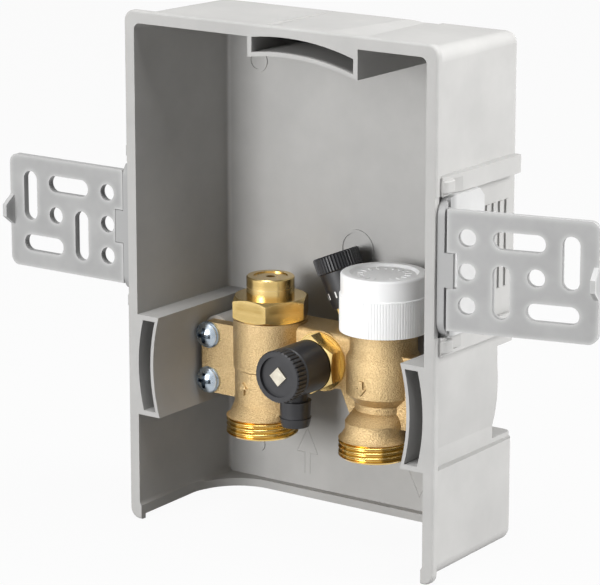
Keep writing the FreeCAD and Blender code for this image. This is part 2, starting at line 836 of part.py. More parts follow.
# Cast valve block: each leg's port stands forward of its valve seat, so an oblique neck joins the two axes
def preset_sketch(body, name, along):
    sketch = new_sketch(body, "XY_Plane", name)
    lean = s.preset_lean
    sketch.AttachmentOffset = Placement(Vector(), Rotation(Vector(0, -1, 0), lean.value))
    bind(sketch, "AttachmentOffset.Rotation.Angle", lean)
    bind(sketch, "AttachmentOffset.Base.x", s.preset_x - trig("sin", lean) * along)
    bind(sketch, "AttachmentOffset.Base.y", preset_y)
    bind(sketch, "AttachmentOffset.Base.z", s.preset_z + trig("cos", lean) * along)
    return sketch


def turn_on_axis(kind, body, name, x, y, points):
    sketch = new_sketch(body, "XZ_Plane", name, x=x, z=-y)
    loop(sketch, points)
    return turn(kind, body, sketch)


def port(body, name, x, points):
    low = s.port_low
    turn_on_axis("Revolution", body, name, x, port_depth, [
        (0, low), (s.port_radius - s.port_chamfer, low), (s.port_radius, low + s.port_chamfer),
        (s.port_radius, low + s.port_thread),
    ] + points)


def neck(body, name, x, low, low_radius, high, high_radius):
    foot = new_sketch(body, "XY_Plane", name + "_foot", z=low)
    ring(foot, x, port_depth, low_radius)
    head = new_sketch(body, "XY_Plane", name + "_head", z=high)
    ring(head, x, body_depth, high_radius)
    loft = body.newObject("PartDesign::AdditiveLoft", name)
    loft.Profile = foot
    loft.Sections = [head]


def build_valve_block():
    body = new_body("valve_block")
    thread_top = s.port_low + s.port_thread
    bridge = new_sketch(body, "YZ_Plane", "bridge", z=-port_x)
    rounded_box(bridge, bridge_front, bridge_back, s.bridge_low, s.bridge_top, s.bridge_round)
    pad(body, bridge, s.port_spacing)
    flanges = new_sketch(body, "XZ_Plane", "flanges", z=-flange_front)
    high = s.flange_low + s.flange_height
    root = port_x - s.flange_root
    rounded_box(flanges, -flange_reach, -root, s.flange_low, high, s.flange_round)
    rounded_box(flanges, root, flange_reach, s.flange_low, high, s.flange_round)
    pad(body, flanges, s.flange_thick, backwards=True)
    turn_on_axis("Revolution", body, "left_body", -port_x, body_depth, [
        (0, s.left_foot_low), (s.left_foot_radius, s.left_foot_low), (s.left_foot_radius, s.left_step),
        (s.left_body_radius, s.left_step + s.step_height), (s.left_body_radius, s.left_leg_top),
        (0, s.left_leg_top),
    ])
    neck(body, "left_neck", -port_x, thread_top, s.left_shoulder, s.left_foot_low, s.left_foot_radius)
    port(body, "left_thread", -port_x, [(0, thread_top)])
    turn_on_axis("Revolution", body, "right_body", port_x, body_depth, [
        (0, s.right_neck_low), (s.right_neck_radius, s.right_neck_low),
        (s.right_neck_radius, s.right_neck_top),
        (s.right_body_radius, s.right_body_low), (s.right_body_radius, s.right_body_top),
        (s.right_collar_radius, s.right_collar_low), (s.right_collar_radius, s.right_leg_top),
        (0, s.right_leg_top),
    ])
    shoulder = s.right_shoulder_top
    neck(body, "right_neck", port_x, shoulder, s.right_shoulder, s.right_neck_low, s.right_neck_radius)
    port(body, "right_thread", port_x, [
        (s.right_cone, thread_top + s.step_height), (s.right_shoulder, s.right_shoulder_low),
        (s.right_shoulder, shoulder), (0, shoulder),
    ])
    web = new_sketch(body, "XZ_Plane", "web", z=-bridge_front)
    web_top = s.bridge_low + s.bridge_round
    loop(web, [(s.web_start, web_top), (s.web_end, s.web_low), (port_x, s.web_low), (port_x, web_top)])
    pad(body, web, s.web_thick, backwards=True)
    boss = new_sketch(body, "XZ_Plane", "vent_boss", z=-bridge_front)
    ring(boss, s.vent_x, s.vent_z, s.vent_boss)
    pad(body, boss, (bridge_back - bridge_front) / 2, backwards=True)
    stand = preset_sketch(body, "preset_boss", -s.preset_boss_sink)
    ring(stand, 0, 0, s.preset_boss)
    pad(body, stand, s.preset_boss_sink + s.preset_seat)

    bore_top = s.port_low + s.port_bore_depth
    mouth = s.left_leg_top - s.left_mouth_depth
    turn_on_axis("Groove", body, "left_inlet", -port_x, port_depth, [
        (0, s.port_low), (s.port_bore, s.port_low), (s.port_bore, bore_top), (0, bore_top),
    ])
    turn_on_axis("Groove", body, "left_chamber", -port_x, body_depth, [
        (0, bore_top - s.inlet_overlap), (s.left_bore, bore_top - s.inlet_overlap), (s.left_bore, mouth),
        (s.left_mouth, mouth), (s.left_mouth, s.left_leg_top), (0, s.left_leg_top),
    ])
    inlet_top = shoulder + s.inlet_overlap
    turn_on_axis("Groove", body, "right_inlet", port_x, port_depth, [
        (0, s.port_low), (s.port_bore, s.port_low), (s.port_bore, thread_top), (s.inlet_bore, thread_top),
        (s.inlet_bore, inlet_top), (0, inlet_top),
    ])
    mouth = s.right_leg_top - s.right_mouth_depth
    seat = s.insert_seat_low - s.pin_travel - s.seat_clear
    turn_on_axis("Groove", body, "right_chamber", port_x, body_depth, [
        (0, shoulder), (s.seat_bore, shoulder), (s.seat_bore, seat), (s.right_bore, seat),
        (s.right_bore, mouth), (s.right_mouth, mouth), (s.right_mouth, s.right_leg_top), (0, s.right_leg_top),
    ])
    cross = new_sketch(body, "YZ_Plane", "cross_bore", z=port_x)
    cross_z = s.bridge_low + s.bridge_round + s.bridge_bore
    ring(cross, (bridge_front + bridge_back) / 2, cross_z, s.bridge_bore)
    pocket(body, cross, s.port_spacing)
    vent = new_sketch(body, "XZ_Plane", "vent_bore", z=-bridge_front)
    ring(vent, s.vent_x, s.vent_z, s.nipple_shank + s.run_clear)
    pocket(body, vent, s.nipple_shank_length)
    preset = preset_sketch(body, "preset_bore", s.preset_seat)
    ring(preset, 0, 0, s.preset_shank + s.run_clear)
    pocket(body, preset, s.preset_shank_length)
    holes = new_sketch(body, "XZ_Plane", "flange_holes", z=-flange_front)
    for side in sides.values():
        for step in (0, 1):
            ring(holes, flange_hole_x * side, s.flange_hole_low + s.flange_hole_pitch * step, s.flange_hole)
    pocket(body, holes, s.flange_thick)
    return body


def spread_on_flanges(form, label, y):
    links = []
    for side in sides.values():
        for step in (0, 1):
            link = doc.addObject("App::Link", "%s_%d" % (label, len(links)))
            link.LinkedObject = form
            place(link, flange_hole_x * side, y, s.flange_hole_low + s.flange_hole_pitch * step,
                  Vector(1, 0, 0), 90)
            links.append(link)
    group = doc.addObject("Part::Compound", label)
    group.Label = label
    group.Links = links
    return group


def build_fasteners():
    washer = turned("washer_form", [
        (s.screw_radius + s.run_clear, 0), (s.washer_radius, 0), (s.washer_radius, s.washer_thick),
        (s.screw_radius + s.run_clear, s.washer_thick),
    ])
    head = s.screw_head_height
    screw = turned("screw_form", [
        (0, -s.screw_length), (s.screw_radius - s.run_clear, -s.screw_length + s.screw_radius),
        (s.screw_radius - s.run_clear, 0), (s.screw_head, 0),
        (s.screw_head, s.screw_flank, arc_radius(s.screw_head * 2, head - s.screw_flank)), (0, head),
    ])
    cross = new_sketch(screw, "XY_Plane", "cross", z=head)
    near, far = s.cross_width / 2, s.cross_span / 2
    loop(cross, [
        (far, -near), (far, near), (near, near), (near, far), (-near, far), (-near, near), (-far, near),
        (-far, -near), (-near, -near), (-near, -far), (near, -far), (near, -near),
    ])
    pocket(screw, cross, s.cross_depth)
    washers = spread_on_flanges(washer, "flange_washers", flange_front)
    screws = spread_on_flanges(screw, "flange_screws", flange_front - s.washer_thick)
    return [washers, screws]


# Turned corners of a hexagon at its end face; inward is the way from that face into the hexagon.
def chamfer_hex(body, label, flats, face, inward):
    corner = flats / math.sqrt(3)
    edge = face + (corner - flats / 2) * trig("tan", s.hex_chamfer) * inward
    sketch = new_sketch(body, "XZ_Plane", label + "_chamfer")
    outside = corner * 2
    loop(sketch, [(flats / 2, face), (corner, edge), (outside, edge), (outside, face)])
    turn("Groove", body, sketch)


# Lockshield bonnet and regulating spindle in the left leg
def build_lockshield():
    base = s.left_leg_top
    hex_top = s.bonnet_hex_height
    boss_top = hex_top + s.bonnet_boss_height
    head_low = boss_top - s.spindle_sink - s.spindle_head_height
    stem = s.spindle_stem + s.run_clear
    head = s.spindle_radius + s.run_clear
    bonnet = turned("lockshield_bonnet", [
        (stem, -s.bonnet_shank_length), (s.bonnet_shank, -s.bonnet_shank_length), (s.bonnet_shank, 0),
        (s.bonnet_flats / 2, 0), (s.bonnet_flats / 2, hex_top), (s.bonnet_boss, hex_top),
        (s.bonnet_boss, boss_top - s.spindle_sink), (s.bonnet_boss - s.spindle_sink, boss_top),
        (head, boss_top), (head, head_low), (stem, head_low),
    ])
    flats = new_sketch(bonnet, "XY_Plane", "bonnet_hex")
    hexagon(flats, s.bonnet_flats)
    ring(flats, 0, 0, s.bonnet_boss)
    pad(bonnet, flats, hex_top)
    chamfer_hex(bonnet, "bonnet_top", s.bonnet_flats, hex_top, -1)
    chamfer_hex(bonnet, "bonnet_foot", s.bonnet_flats, 0, 1)
    place(bonnet, -port_x, body_depth, base, Vector(0, 0, 1), s.bonnet_turn)

    tip_low = s.spindle_tip_low - s.left_leg_top
    spindle = turned("regulating_spindle", [
        (0, tip_low), (s.spindle_stem, tip_low), (s.spindle_radius, tip_low + s.spindle_tip_height / 2),
        (s.spindle_radius, tip_low + s.spindle_tip_height), (s.spindle_stem, tip_low + s.spindle_tip_height),
        (s.spindle_stem, head_low), (s.spindle_radius, head_low),
        (s.spindle_radius, head_low + s.spindle_head_height), (0, head_low + s.spindle_head_height),
    ])
    key = new_sketch(spindle, "XY_Plane", "key_socket", z=head_low + s.spindle_head_height)
    hexagon(key, s.socket_flats)
    pocket(spindle, key, s.socket_depth)
    place(spindle, -port_x, body_depth, base)
    return [bonnet, spindle]


# Valve insert, pin, spring and disc in the right leg, under the protective cap
def build_control_valve():
    base = s.right_leg_top
    flange_top = s.insert_flange_height
    collar_top = flange_top + s.insert_collar_height
    neck_top = collar_top + s.insert_neck_height
    bore = s.pin_radius + s.run_clear
    chamber_top = s.insert_seat_low - base + s.chamber_depth
    insert = turned("valve_insert", [
        (s.chamber_radius, s.insert_seat_low - base), (s.insert_shank, s.insert_seat_low - base),
        (s.insert_shank, 0), (s.insert_flats / 2, 0), (s.insert_flats / 2, flange_top),
        (s.insert_collar, flange_top), (s.insert_collar, collar_top), (s.insert_neck, collar_top),
        (s.insert_neck, neck_top), (bore, neck_top), (bore, chamber_top), (s.chamber_radius, chamber_top),
    ])
    place(insert, port_x, body_depth, base)

    cap_top = s.cap_low + s.cap_height - base
    cap_floor = cap_top - s.cap_top
    pin_low = s.insert_seat_low - base + s.disc_thick
    pin = turned("valve_pin", [
        (0, pin_low), (s.pin_step, pin_low), (s.pin_step, pin_low + s.pin_step_height),
        (s.pin_radius, pin_low + s.pin_step_height), (s.pin_radius, cap_floor), (0, cap_floor),
    ])
    place(pin, port_x, body_depth, base)
    disc = turned("valve_disc", [
        (0, pin_low - s.disc_thick), (s.disc_radius, pin_low - s.disc_thick),
        (s.disc_radius, pin_low), (0, pin_low),
    ])
    place(disc, port_x, body_depth, base)

    spring = new_body("return_spring")
    coil = (s.pin_radius + s.pin_step) / 2 + s.spring_wire
    seat = pin_low + s.pin_step_height + s.spring_wire
    height = chamber_top - s.spring_wire - seat
    wire = new_sketch(spring, "XZ_Plane", "wire")
    ring(wire, coil, seat, s.spring_wire)
    helix = spring.newObject("PartDesign::AdditiveHelix", "spring_coil")
    helix.Profile = wire
    helix.ReferenceAxis = (wire, ["V_Axis"])
    helix.Mode = "height-turns-angle"
    helix.Height = number(height)
    bind(helix, "Height", height)
    helix.Turns = number(s.spring_turns)
    bind(helix, "Turns", s.spring_turns)
    place(spring, port_x, body_depth, base)

    low = s.cap_low - base
    inside = s.insert_collar + s.cap_bore_clear
    foot = s.cap_radius + s.cap_flare
    knurl_top = low + s.cap_knurl
    cap = turned("protective_cap", [
        (inside, low), (foot, low), (foot, knurl_top), (s.cap_radius, knurl_top + s.cap_flare),
        (s.cap_radius, cap_top - s.cap_round, s.cap_round), (s.cap_radius - s.cap_round, cap_top),
        (s.cap_radius - s.cap_lip, cap_top), (s.cap_radius - s.cap_lip - s.cap_dish, cap_top - s.cap_dish),
        (0, cap_top - s.cap_dish), (0, cap_floor), (inside, cap_floor),
    ])
    knurl(cap, "cap", foot, s.cap_rib_depth, s.cap_ribs, low, knurl_top)
    place(cap, port_x, body_depth, base)
    return [insert, pin, disc, spring, cap]


# Vent and drain valve: modelled along Z from the boss face, then turned to point forward
def build_vent():
    hex_low = s.nipple_collar_height
    hex_top = hex_low + s.nipple_hex_height
    groove = hex_top + s.sleeve_length / 4
    section = s.ring_section
    nipple = turned("vent_nipple", [
        (s.nipple_bore, -s.nipple_shank_length), (s.nipple_shank, -s.nipple_shank_length),
        (s.nipple_shank, 0),
        (s.nipple_collar, 0), (s.nipple_collar, hex_low), (s.nipple_flats / 2, hex_low),
        (s.nipple_flats / 2, hex_top), (s.nipple_tube, hex_top), (s.nipple_tube, groove - section),
        (s.nipple_tube - section * 2, groove - section), (s.nipple_tube - section * 2, groove + section),
        (s.nipple_tube, groove + section), (s.nipple_tube, s.nipple_reach), (s.nipple_bore, s.nipple_reach),
    ])
    flats = new_sketch(nipple, "XY_Plane", "nipple_hex", z=hex_low)
    hexagon(flats, s.nipple_flats, upright=True)
    ring(flats, 0, 0, s.nipple_tube)
    pad(nipple, flats, s.nipple_hex_height)
    chamfer_hex(nipple, "nipple", s.nipple_flats, hex_top, -1)

    seal = doc.addObject("Part::Torus", "vent_seal")
    bind(seal, "Radius1", s.nipple_tube - section)
    bind(seal, "Radius2", section)

    low = hex_top + s.vent_gap
    high = low + s.sleeve_length
    inside = s.nipple_tube + s.run_clear
    sleeve = turned("vent_sleeve", [
        (inside, low), (s.sleeve_radius - s.sleeve_edge, low), (s.sleeve_radius, low + s.sleeve_edge),
        (s.sleeve_radius, high - s.sleeve_edge), (s.sleeve_radius - s.sleeve_edge, high), (inside, high),
    ])
    spout = new_sketch(sleeve, "XY_Plane", "spout", z=low + s.spout_forward)
    start = (s.sleeve_radius + inside) / 2
    end = s.sleeve_radius + s.spout_length
    step = end - s.spout_barb_height
    neck_end = step - s.spout_upper_height
    loop(spout, [
        (0, -start), (s.spout_neck, -start), (s.spout_neck, -neck_end), (s.spout_barb, -neck_end),
        (s.spout_barb - s.spout_upper_taper, -step), (s.spout_barb, -step),
        (s.spout_barb - s.spout_lower_taper, -end), (0, -end),
    ])
    turn("Revolution", sleeve, spout)
    duct = new_sketch(sleeve, "XZ_Plane", "duct", z=end)
    ring(duct, 0, low + s.spout_forward, s.spout_bore)
    pocket(sleeve, duct, end - inside)

    knob_low = high + s.vent_gap
    knob_top = knob_low + s.vent_knob_length
    side = s.square_side + s.run_clear * 2
    knob = turned("vent_knob", [
        (0, knob_low), (s.vent_knob_radius - s.sleeve_edge, knob_low),
        (s.vent_knob_radius, knob_low + s.sleeve_edge),
        (s.vent_knob_radius, knob_top - s.sleeve_edge), (s.vent_knob_radius - s.sleeve_edge, knob_top),
        (s.vent_knob_recess, knob_top), (s.vent_knob_recess, knob_top - s.vent_knob_sink),
        (0, knob_top - s.vent_knob_sink),
    ])
    square = new_sketch(knob, "XY_Plane", "square_hole", z=knob_top)
    diagonal = side / math.sqrt(2)
    loop(square, [(diagonal, 0), (0, diagonal), (-diagonal, 0), (0, -diagonal)])
    pocket(knob, square, s.vent_knob_length)
    knurl(knob, "vent_knob", s.vent_knob_radius, s.vent_rib_depth, s.vent_knob_ribs, knob_low, knob_top)

    stem_top = s.nipple_reach + s.vent_gap
    stem = s.nipple_bore - s.run_clear
    spindle = turned("vent_spindle", [
        (0, -s.nipple_shank_length), (stem, -s.nipple_shank_length + stem), (stem, stem_top), (0, stem_top),
    ])
    end_square = new_sketch(spindle, "XY_Plane", "square_end", z=stem_top)
    diagonal = s.square_side / math.sqrt(2)
    loop(end_square, [(diagonal, 0), (0, diagonal), (-diagonal, 0), (0, -diagonal)])
    pad(spindle, end_square, knob_top - s.vent_knob_sink / 2 - stem_top)

    for item in (nipple, sleeve, knob, spindle):
        place(item, s.vent_x, bridge_front, s.vent_z, Vector(1, 0, 0), 90)
    place(seal, s.vent_x, bridge_front - groove, s.vent_z, Vector(1, 0, 0), 90)
    return [nipple, seal, sleeve, knob, spindle]


# Presetting valve on its inclined boss
def build_preset():
    seat = s.preset_seat
    hex_top = seat + s.preset_hex_height
    bore = s.preset_stem + s.run_clear
    bonnet = turned("preset_bonnet", [
        (bore, seat - s.preset_shank_length), (s.preset_shank, seat - s.preset_shank_length),
        (s.preset_shank, seat),
        (s.preset_flats / 2, seat), (s.preset_flats / 2, hex_top), (bore, hex_top),
    ])
    flats = new_sketch(bonnet, "XY_Plane", "preset_hex", z=seat)
    hexagon(flats, s.preset_flats)
    ring(flats, 0, 0, s.preset_shank)
    pad(bonnet, flats, s.preset_hex_height)
    knob_low = hex_top + s.vent_gap
    shoulder = knob_low + s.preset_body_length
    top = shoulder + s.preset_head_length
    hollow = s.preset_knob_foot - s.preset_wall
    spindle = turned("preset_spindle", [
        (0, seat - s.preset_shank_length), (s.preset_stem, seat - s.preset_shank_length),
        (s.preset_stem, shoulder), (0, shoulder),
    ])
    knob = turned("preset_knob", [
        (s.preset_stem, knob_low), (s.preset_knob_foot, knob_low), (s.preset_knob_shoulder, shoulder),
        (s.preset_head - s.sleeve_edge, shoulder), (s.preset_head, shoulder + s.sleeve_edge),
        (s.preset_head, top - s.sleeve_edge), (s.preset_head - s.sleeve_edge, top),
        (hollow, top), (hollow, top - s.vent_knob_sink), (0, top - s.vent_knob_sink), (0, shoulder),
        (s.preset_stem, shoulder),
    ])
    knurl(knob, "preset_knob", s.preset_head, s.preset_rib_depth, s.preset_ribs, shoulder, top)
    for item in (bonnet, spindle, knob):
        place(item, s.preset_x, preset_y, s.preset_z, Vector(0, -1, 0), s.preset_lean)
    return [bonnet, spindle, knob]


nodes = [build_wall_box()]
for name, side in sides.items():
    nodes.append(build_slider(name, side))
nodes.append(build_ear("left", -1, 0))
nodes.append(build_ear("right", 1, s.ear_lean))
nodes.append(build_valve_block())
nodes += build_fasteners()
nodes += build_lockshield()
nodes += build_control_valve()
nodes += build_vent()
nodes += build_preset()
doc.recompute()

for item in doc.Objects:
    if "Invalid" in item.State or "Error" in item.State:
        raise RuntimeError("%s did not build: %s" % (item.Name, item.State))
for node in nodes:
    if node.Shape.isNull() or not node.Shape.isValid() or not node.Shape.Solids:
        raise RuntimeError("%s has no valid solid" % node.Label)

os.makedirs("parts", exist_ok=True)
for node in nodes:
    node.Shape.exportStep(os.path.join("parts", node.Label + ".step"))
    print("%-20s %2d solids %10.1f mm3" % (node.Label, len(node.Shape.Solids), node.Shape.Volume))
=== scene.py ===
import math

import bmesh
import bpy
from mathutils import Matrix, Vector


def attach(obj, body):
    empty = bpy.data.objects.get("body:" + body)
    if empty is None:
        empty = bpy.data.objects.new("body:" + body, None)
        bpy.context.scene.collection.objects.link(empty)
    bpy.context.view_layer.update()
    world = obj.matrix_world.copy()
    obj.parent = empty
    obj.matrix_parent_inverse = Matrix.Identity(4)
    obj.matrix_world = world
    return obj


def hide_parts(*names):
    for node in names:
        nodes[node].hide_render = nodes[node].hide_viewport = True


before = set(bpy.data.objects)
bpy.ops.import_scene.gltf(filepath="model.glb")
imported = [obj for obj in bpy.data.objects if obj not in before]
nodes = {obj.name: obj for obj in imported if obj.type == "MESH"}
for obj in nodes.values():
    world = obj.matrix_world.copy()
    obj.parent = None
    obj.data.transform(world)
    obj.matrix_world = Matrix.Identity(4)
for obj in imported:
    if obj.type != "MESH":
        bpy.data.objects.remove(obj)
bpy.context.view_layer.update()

mm = 0.001
print("frame loaded:", len(nodes), "CAD nodes")


def addToScene(name, data):
    item = bpy.data.objects.new(name, data)
    bpy.context.scene.collection.objects.link(item)
    return item


def pointAlong(item, way):
    item.rotation_euler = way.to_track_quat("-Z", "Y").to_euler()


# Node trees: an empty tree, a socket that takes a value or another node's output, and the nodes used most
def emptyTree(owner):
    owner.use_nodes = True
    owner.node_tree.nodes.clear()
    return owner.node_tree


def opaque(colour):
    return (*colour, 1)


def feed(tree, socket, value):
    if isinstance(value, bpy.types.NodeSocket):
        tree.links.new(value, socket)
    else:
        socket.default_value = value


def mathNode(tree, operation, *values):
    node = tree.nodes.new("ShaderNodeMath")
    node.operation = operation
    for socket, value in zip(node.inputs, values):
        feed(tree, socket, value)
    return node.outputs[0]


def remap(tree, value, source, target=(0.0, 1.0)):
    node = tree.nodes.new("ShaderNodeMapRange")
    for label, number in zip(("From Min", "From Max", "To Min", "To Max"), (*source, *target)):
        node.inputs[label].default_value = number
    tree.links.new(value, node.inputs["Value"])
    return node.outputs["Result"]


# Camera: seen from the front right and a little above, with a long lens
cameraView = {
    "yaw": 35.67,
    "pitch": 14.08,
    "distance": 1.134,
    "target": (-0.0097, 0.028, 0.0885),
    "lens": 188.46,
    "sensor": 36.0,
    "nearest": 0.05,
}


def makeCamera(view):
    yaw, pitch = math.radians(view["yaw"]), math.radians(view["pitch"])
    level = math.cos(pitch)
    ahead = Vector((-math.sin(yaw) * level, math.cos(yaw) * level, -math.sin(pitch)))
    data = bpy.data.cameras.new("studioCamera")
    data.lens = view["lens"]
    data.sensor_width = view["sensor"]
    data.clip_start = view["nearest"]
    camera = addToScene("studioCamera", data)
    camera.location = Vector(view["target"]) - ahead * view["distance"]
    pointAlong(camera, ahead)
    bpy.context.scene.camera = camera


# Light: two lamps in front, a little to the left, reach the back wall and leave the left wall in shade.
# One on the right stands behind the rim and lights the outer side and the top, and one above adds to the top.
studioLight = {
    "worldColour": (0.97, 0.985, 1.0),
    "worldStrength": 0.03,
    "backdrop": (1.0, 1.0, 1.0),
    "lamps": {
        "keyLamp": {"at": (-0.30, -1.65, 0.34), "size": 0.6, "power": 18.0},
        "fillLamp": {"at": (-0.5, -1.75, 0.5), "size": 1.2, "power": 14.5},
        "sideLamp": {"at": (1.4, 0.60, 0.75), "size": 1.0, "power": 41.5},
        "topLamp": {"at": (0.1, -0.25, 1.5), "size": 0.8, "power": 18.5},
    },
    "aimAt": (0.0, 0.02, 0.09),
}


def seenDirectly(tree):
    path = tree.nodes.new("ShaderNodeLightPath")
    total = path.outputs["Is Camera Ray"]
    for name in ("Is Glossy Ray", "Is Transmission Ray"):
        total = mathNode(tree, "MAXIMUM", total, path.outputs[name])
    return total


def mixShaders(tree, share, first, second, outputKind):
    mix = tree.nodes.new("ShaderNodeMixShader")
    output = tree.nodes.new(outputKind)
    tree.links.new(share, mix.inputs["Fac"])
    tree.links.new(first.outputs[0], mix.inputs[1])
    tree.links.new(second.outputs[0], mix.inputs[2])
    tree.links.new(mix.outputs[0], output.inputs["Surface"])


def makeLight(light):
    world = bpy.data.worlds.new("studioWorld")
    bpy.context.scene.world = world
    tree = emptyTree(world)
    lit = tree.nodes.new("ShaderNodeBackground")
    lit.inputs["Color"].default_value = opaque(light["worldColour"])
    lit.inputs["Strength"].default_value = light["worldStrength"]
    shown = tree.nodes.new("ShaderNodeBackground")
    shown.inputs["Color"].default_value = opaque(light["backdrop"])
    mixShaders(tree, seenDirectly(tree), lit, shown, "ShaderNodeOutputWorld")
    for name, lamp in light["lamps"].items():
        data = bpy.data.lights.new(name, "AREA")
        data.size = lamp["size"]
        data.energy = lamp["power"]
        item = addToScene(name, data)
        item.location = lamp["at"]
        pointAlong(item, Vector(light["aimAt"]) - Vector(lamp["at"]))


# Floor: matt for the light that falls on it, nearly white where it is looked at
floorPiece = {"half": 3.0, "height": -0.2 * mm, "tone": (0.35, 0.35, 0.35), "whiteShare": 0.95}


def makeFloor(settings):
    mesh = bpy.data.meshes.new("studioFloor")
    half, height = settings["half"], settings["height"]
    corners = [(-half, -half, height), (half, -half, height), (half, half, height), (-half, half, height)]
    mesh.from_pydata(corners, [], [(0, 1, 2, 3)])
    floor = addToScene("studioFloor", mesh)
    material = bpy.data.materials.new("paleFloor")
    tree = emptyTree(material)
    matt = tree.nodes.new("ShaderNodeBsdfDiffuse")
    matt.inputs["Color"].default_value = opaque(settings["tone"])
    glow = tree.nodes.new("ShaderNodeEmission")
    share = mathNode(tree, "MULTIPLY", seenDirectly(tree), settings["whiteShare"])
    mixShaders(tree, share, matt, glow, "ShaderNodeOutputMaterial")
    mesh.materials.append(material)


bpy.context.scene.view_settings.view_transform = "Standard"
makeCamera(cameraView)
makeLight(studioLight)
makeFloor(floorPiece)
print("camera, light and floor ready")


# Shader groups that several finishes share
def startGroup(name, inputs, outputs):
    tree = bpy.data.node_groups.new(name, "ShaderNodeTree")
    for label, kind in inputs:
        tree.interface.new_socket(label, in_out="INPUT", socket_type=kind)
    for label, kind in outputs:
        tree.interface.new_socket(label, in_out="OUTPUT", socket_type=kind)
    return tree, tree.nodes.new("NodeGroupInput"), tree.nodes.new("NodeGroupOutput")


def noiseNode(tree, vector, scale, detail, roughness=0.5):
    node = tree.nodes.new("ShaderNodeTexNoise")
    node.inputs["Detail"].default_value = detail
    node.inputs["Roughness"].default_value = roughness
    tree.links.new(vector, node.inputs["Vector"])
    tree.links.new(scale, node.inputs["Scale"])
    return node.outputs["Fac"]


reliefAndTone = [("Height", "NodeSocketFloat"), ("Tone", "NodeSocketFloat")]

# Fine relief of a moulded or blasted skin, with slow patches for tone
skinGrain = {"fineDetail": 3.0, "patchDetail": 4.0, "patchRoughness": 0.6}


def makeSkinGroup(grain):
    tree, start, end = startGroup(
        "skinGrain",
        [("Vector", "NodeSocketVector"), ("Grain", "NodeSocketFloat"), ("Patch", "NodeSocketFloat")],
        reliefAndTone)
    vector = start.outputs["Vector"]
    fine = noiseNode(tree, vector, start.outputs["Grain"], grain["fineDetail"])
    wide = noiseNode(tree, vector, start.outputs["Patch"], grain["patchDetail"], grain["patchRoughness"])
    tree.links.new(fine, end.inputs["Height"])
    tree.links.new(wide, end.inputs["Tone"])
    return tree


# Circular tool lines of a turned piece: noise over the distance from the axis and the place along it
latheLines = {"detail": 2.0, "toneShare": 0.12}


def makeLatheGroup(lines):
    tree, start, end = startGroup(
        "latheLines",
        [("Vector", "NodeSocketVector"), ("Lines", "NodeSocketFloat")],
        reliefAndTone)
    split = tree.nodes.new("ShaderNodeSeparateXYZ")
    tree.links.new(start.outputs["Vector"], split.inputs[0])
    squares = [mathNode(tree, "POWER", split.outputs[axis], 2.0) for axis in ("X", "Y")]
    radius = mathNode(tree, "SQRT", mathNode(tree, "ADD", *squares))
    flat = tree.nodes.new("ShaderNodeCombineXYZ")
    tree.links.new(radius, flat.inputs["X"])
    tree.links.new(split.outputs["Z"], flat.inputs["Y"])
    slow = mathNode(tree, "MULTIPLY", start.outputs["Lines"], lines["toneShare"])
    for label, scale in (("Height", start.outputs["Lines"]), ("Tone", slow)):
        tree.links.new(noiseNode(tree, flat.outputs[0], scale, lines["detail"]), end.inputs[label])
    return tree


skinGroup = makeSkinGroup(skinGrain)
latheGroup = makeLatheGroup(latheLines)


def startMaterial(name):
    material = bpy.data.materials.new(name)
    tree = emptyTree(material)
    shader = tree.nodes.new("ShaderNodeBsdfPrincipled")
    output = tree.nodes.new("ShaderNodeOutputMaterial")
    tree.links.new(shader.outputs[0], output.inputs["Surface"])
    return material, tree, shader


def objectVector(tree, centre=None, turn=(0, 0, 0)):
    coordinate = tree.nodes.new("ShaderNodeTexCoord")
    if centre is None:
        return coordinate.outputs["Object"]
    mapping = tree.nodes.new("ShaderNodeMapping")
    mapping.vector_type = "TEXTURE"
    mapping.inputs["Location"].default_value = centre
    mapping.inputs["Rotation"].default_value = turn
    tree.links.new(coordinate.outputs["Object"], mapping.inputs["Vector"])
    return mapping.outputs[0]


# The colour sockets of a Mix node go by number, because their names repeat for every data type
mixSocket = {"share": 0, "first": 6, "second": 7, "result": 2}


def mixColours(tree, share, first, second):
    node = tree.nodes.new("ShaderNodeMix")
    node.data_type = "RGBA"
    for label, value in (("share", share), ("first", first), ("second", second)):
        feed(tree, node.inputs[mixSocket[label]], value)
    return node.outputs[mixSocket["result"]]


# Painted highlight: paler colour beside edges and holes, where a rounded normal leaves the plain one, in
# place of the light that rounded edges catch
def paintedEdgeHighlight(tree, colour, edge):
    rounded = tree.nodes.new("ShaderNodeBevel")
    rounded.samples = edge["samples"]
    rounded.inputs["Radius"].default_value = edge["reach"]
    plain = tree.nodes.new("ShaderNodeNewGeometry")
    likeness = tree.nodes.new("ShaderNodeVectorMath")
    likeness.operation = "DOT_PRODUCT"
    tree.links.new(rounded.outputs[0], likeness.inputs[0])
    tree.links.new(plain.outputs["True Normal"], likeness.inputs[1])
    share = remap(tree, likeness.outputs["Value"], (1.0, 1.0 - edge["bend"]))
    return mixColours(tree, share, colour, opaque(edge["colour"]))


# Painted shade: the front strip of a sliding foot darkened to the grey of the ear beside it, though the foot
# itself is one grey
def paintedFrontShade(tree, colour, front):
    split = tree.nodes.new("ShaderNodeSeparateXYZ")
    tree.links.new(objectVector(tree), split.inputs[0])
    share = remap(tree, split.outputs["Y"], (front["back"], front["front"]))
    return mixColours(tree, share, colour, opaque(front["colour"]))


# Painted shade: darker colour where a recess closes round it, found by ambient occlusion
def paintedRecessShade(tree, colour, recessShade):
    room = tree.nodes.new("ShaderNodeAmbientOcclusion")
    room.samples = recessShade["samples"]
    room.only_local = True
    room.inputs["Distance"].default_value = recessShade["reach"]
    share = remap(tree, room.outputs["AO"], (recessShade["open"], recessShade["closed"]))
    return mixColours(tree, share, colour, opaque(recessShade["colour"]))


